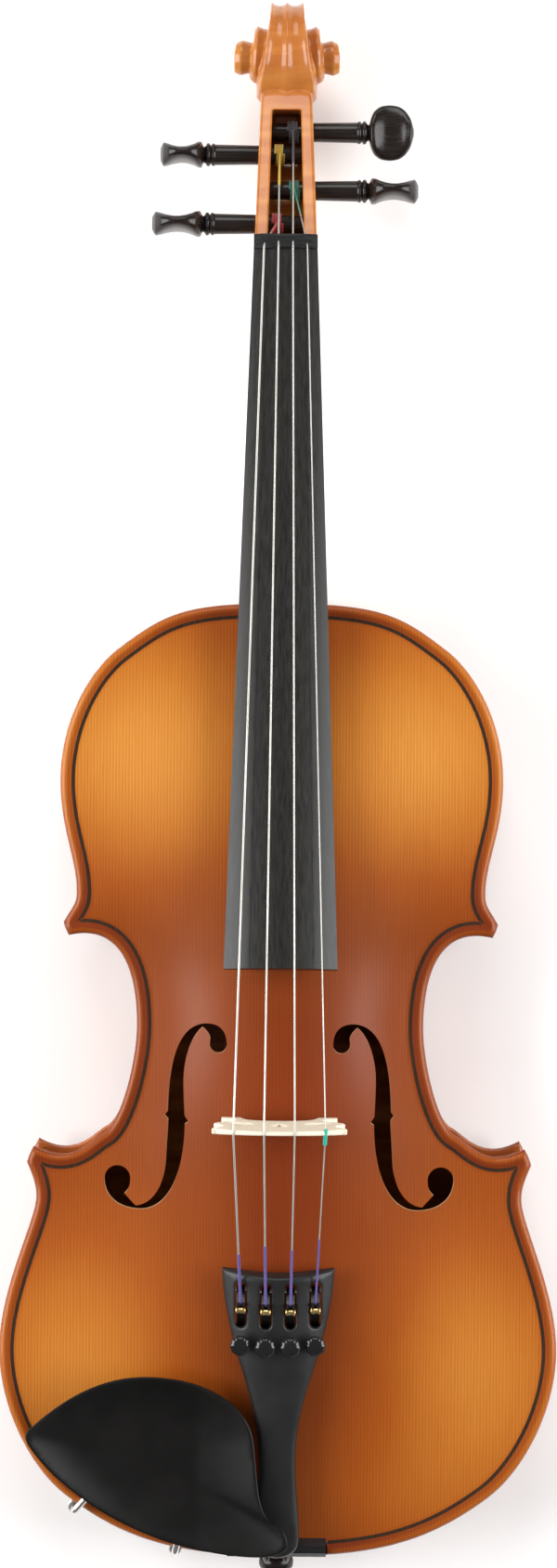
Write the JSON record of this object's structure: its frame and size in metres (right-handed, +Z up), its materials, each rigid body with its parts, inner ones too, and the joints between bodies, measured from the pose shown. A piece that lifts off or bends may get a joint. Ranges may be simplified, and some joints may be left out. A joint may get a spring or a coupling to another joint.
{
  "type": "violin",
  "caption": "Full-size violin with strung pegs, built-in fine tuners, chinrest with clamp, and its full inner structure.",
  "frame": {"origin": "on the surface it lies on, below the middle of its box, lying on its back", "axes": "+Y towards the scroll along the length, +X to the treble side, +Z up out of the top"},
  "size_m": [0.2086, 0.598, 0.0951],
  "materials": {
    "spruce_varnish": "glossy honey and red-brown oil varnish over spruce, shaded darker to the centre",
    "maple_varnish": "glossy golden red-brown varnish over flamed maple",
    "purfling_black": "thin dyed strips",
    "bare_spruce": "bare, unvarnished",
    "black_board": "satin black hardwood",
    "peg_wood": "polished very dark brown hardwood",
    "bridge_maple": "bare pale maple",
    "black_composite": "fine satin black moulding",
    "tailgut_black": "smooth cord",
    "ball_brass": "plain",
    "steel": "bright nickel plated",
    "sleeve_green": "soft tube",
    "cork": "pressed cork",
    "string_wire": "round wound wire, silk at both ends",
    "string_turns": "wound silk over wire",
    "black_knob": "glossy black",
    "dark_steel": "blackened"
  },
  "bodies": {
    "corpus": {"top_plate": "spruce_varnish", "back_plate": "maple_varnish", "purfling": "purfling_black", "rib_upper_bass": "maple_varnish", "rib_upper_treble": "maple_varnish", "rib_centre_bass": "maple_varnish", "rib_centre_treble": "maple_varnish", "rib_lower_bass": "maple_varnish", "rib_lower_treble": "maple_varnish", "linings": "bare_spruce", "corner_blocks": "bare_spruce", "top_block": "bare_spruce", "bottom_block": "bare_spruce", "bass_bar": "bare_spruce", "sound_post": "bare_spruce", "neck_scroll": "maple_varnish", "fingerboard": "black_board", "nut": "black_board", "saddle": "black_board", "end_button": "peg_wood", "bridge": "bridge_maple", "tailpiece": "black_composite", "tailgut": "tailgut_black", "tailgut_nuts": "ball_brass", "tuner_pins": "steel", "string_sleeve": "sleeve_green", "chinrest": "black_composite", "chinrest_corks": "cork", "chinrest_bracket": "steel", "string_g": "string_wire", "string_d": "string_wire", "string_a": "string_wire", "string_e": "string_wire"},
    "peg_set_g": {"peg_g": "peg_wood", "winding_g": "string_turns"},
    "peg_set_d": {"peg_d": "peg_wood", "winding_d": "string_turns"},
    "peg_set_a": {"peg_a": "peg_wood", "winding_a": "string_turns"},
    "peg_set_e": {"peg_e": "peg_wood", "winding_e": "string_turns"},
    "screw_g": {"tuner_screw_g": "steel"},
    "knob_g": {"tuner_knob_g": "black_knob"},
    "lever_g": {"tuner_lever_g": "dark_steel", "ball_end_g": "ball_brass"},
    "screw_d": {"tuner_screw_d": "steel"},
    "knob_d": {"tuner_knob_d": "black_knob"},
    "lever_d": {"tuner_lever_d": "dark_steel", "ball_end_d": "ball_brass"},
    "screw_a": {"tuner_screw_a": "steel"},
    "knob_a": {"tuner_knob_a": "black_knob"},
    "lever_a": {"tuner_lever_a": "dark_steel", "ball_end_a": "ball_brass"},
    "screw_e": {"tuner_screw_e": "steel"},
    "knob_e": {"tuner_knob_e": "black_knob"},
    "lever_e": {"tuner_lever_e": "dark_steel", "ball_end_e": "ball_brass"},
    "barrel_inner": {"clamp_barrel_inner": "steel"},
    "barrel_outer": {"clamp_barrel_outer": "steel"},
    "foot": {"clamp_foot": "steel"}
  },
  "joints": [
    {"name": "peg_g_turn", "type": "hinge", "parent": "corpus", "child": "peg_set_g", "pos_m": [0, 0.21104, 0.03813], "axis": [-1, 0, 0], "continuous": true},
    {"name": "peg_d_turn", "type": "hinge", "parent": "corpus", "child": "peg_set_d", "pos_m": [0, 0.23906, 0.02845], "axis": [-1, 0, 0], "continuous": true},
    {"name": "peg_a_turn", "type": "hinge", "parent": "corpus", "child": "peg_set_a", "pos_m": [0, 0.24855, 0.02483], "axis": [1, 0, 0], "continuous": true},
    {"name": "peg_e_turn", "type": "hinge", "parent": "corpus", "child": "peg_set_e", "pos_m": [0, 0.22465, 0.03346], "axis": [1, 0, 0], "continuous": true},
    {"name": "tuner_g_travel", "type": "slide", "parent": "corpus", "child": "screw_g", "axis": [0, 0.1511, -0.9885], "range_m": [-0.0018, 0.001]},
    {"name": "tuner_g_turn", "type": "hinge", "parent": "screw_g", "child": "knob_g", "pos_m": [-0.0138, -0.20752, 0.06715], "axis": [0, 0.1511, -0.9885], "range_deg": [-1297, 721]},
    {"name": "tuner_g_lever", "type": "hinge", "parent": "corpus", "child": "lever_g", "pos_m": [-0.0138, -0.18876, 0.06354], "axis": [1, 0, 0], "range_deg": [-5.74, 3.19]},
    {"name": "tuner_d_travel", "type": "slide", "parent": "corpus", "child": "screw_d", "axis": [0, 0.1511, -0.9885], "range_m": [-0.0018, 0.001]},
    {"name": "tuner_d_turn", "type": "hinge", "parent": "screw_d", "child": "knob_d", "pos_m": [-0.0046, -0.20792, 0.06973], "axis": [0, 0.1511, -0.9885], "range_deg": [-1297, 721]},
    {"name": "tuner_d_lever", "type": "hinge", "parent": "corpus", "child": "lever_d", "pos_m": [-0.0046, -0.18915, 0.06612], "axis": [1, 0, 0], "range_deg": [-5.74, 3.19]},
    {"name": "tuner_a_travel", "type": "slide", "parent": "corpus", "child": "screw_a", "axis": [0, 0.1511, -0.9885], "range_m": [-0.0018, 0.001]},
    {"name": "tuner_a_turn", "type": "hinge", "parent": "screw_a", "child": "knob_a", "pos_m": [0.0046, -0.20792, 0.06973], "axis": [0, 0.1511, -0.9885], "range_deg": [-1297, 721]},
    {"name": "tuner_a_lever", "type": "hinge", "parent": "corpus", "child": "lever_a", "pos_m": [0.0046, -0.18915, 0.06612], "axis": [1, 0, 0], "range_deg": [-5.74, 3.19]},
    {"name": "tuner_e_travel", "type": "slide", "parent": "corpus", "child": "screw_e", "axis": [0, 0.1511, -0.9885], "range_m": [-0.0018, 0.001]},
    {"name": "tuner_e_turn", "type": "hinge", "parent": "screw_e", "child": "knob_e", "pos_m": [0.0138, -0.20752, 0.06715], "axis": [0, 0.1511, -0.9885], "range_deg": [-1297, 721]},
    {"name": "tuner_e_lever", "type": "hinge", "parent": "corpus", "child": "lever_e", "pos_m": [0.0138, -0.18876, 0.06354], "axis": [1, 0, 0], "range_deg": [-5.74, 3.19]},
    {"name": "clamp_turn", "type": "hinge", "parent": "corpus", "child": "barrel_inner", "pos_m": [-0.038, -0.28847, 0.02864], "axis": [0, -0.0225, 0.9997], "range_deg": [-1, 1081]},
    {"name": "clamp_turn_outer", "type": "hinge", "parent": "corpus", "child": "barrel_outer", "pos_m": [-0.076, -0.27318, 0.02899], "axis": [0, -0.0225, 0.9997], "range_deg": [-1, 1081]},
    {"name": "clamp_open", "type": "slide", "parent": "corpus", "child": "foot", "axis": [0, 0.0225, -0.9997], "range_m": [0, 0.0042]}
  ],
  "couplings": [
    {"joint": "tuner_g_turn", "follows": "tuner_g_travel", "rad_per_m": 12566},
    {"joint": "tuner_g_lever", "follows": "tuner_g_travel", "rad_per_m": 55.556},
    {"joint": "tuner_d_turn", "follows": "tuner_d_travel", "rad_per_m": 12566},
    {"joint": "tuner_d_lever", "follows": "tuner_d_travel", "rad_per_m": 55.556},
    {"joint": "tuner_a_turn", "follows": "tuner_a_travel", "rad_per_m": 12566},
    {"joint": "tuner_a_lever", "follows": "tuner_a_travel", "rad_per_m": 55.556},
    {"joint": "tuner_e_turn", "follows": "tuner_e_travel", "rad_per_m": 12566},
    {"joint": "tuner_e_lever", "follows": "tuner_e_travel", "rad_per_m": 55.556},
    {"joint": "clamp_turn", "follows": "clamp_open", "rad_per_m": 4488},
    {"joint": "clamp_turn_outer", "follows": "clamp_open", "rad_per_m": 4488}
  ]
}
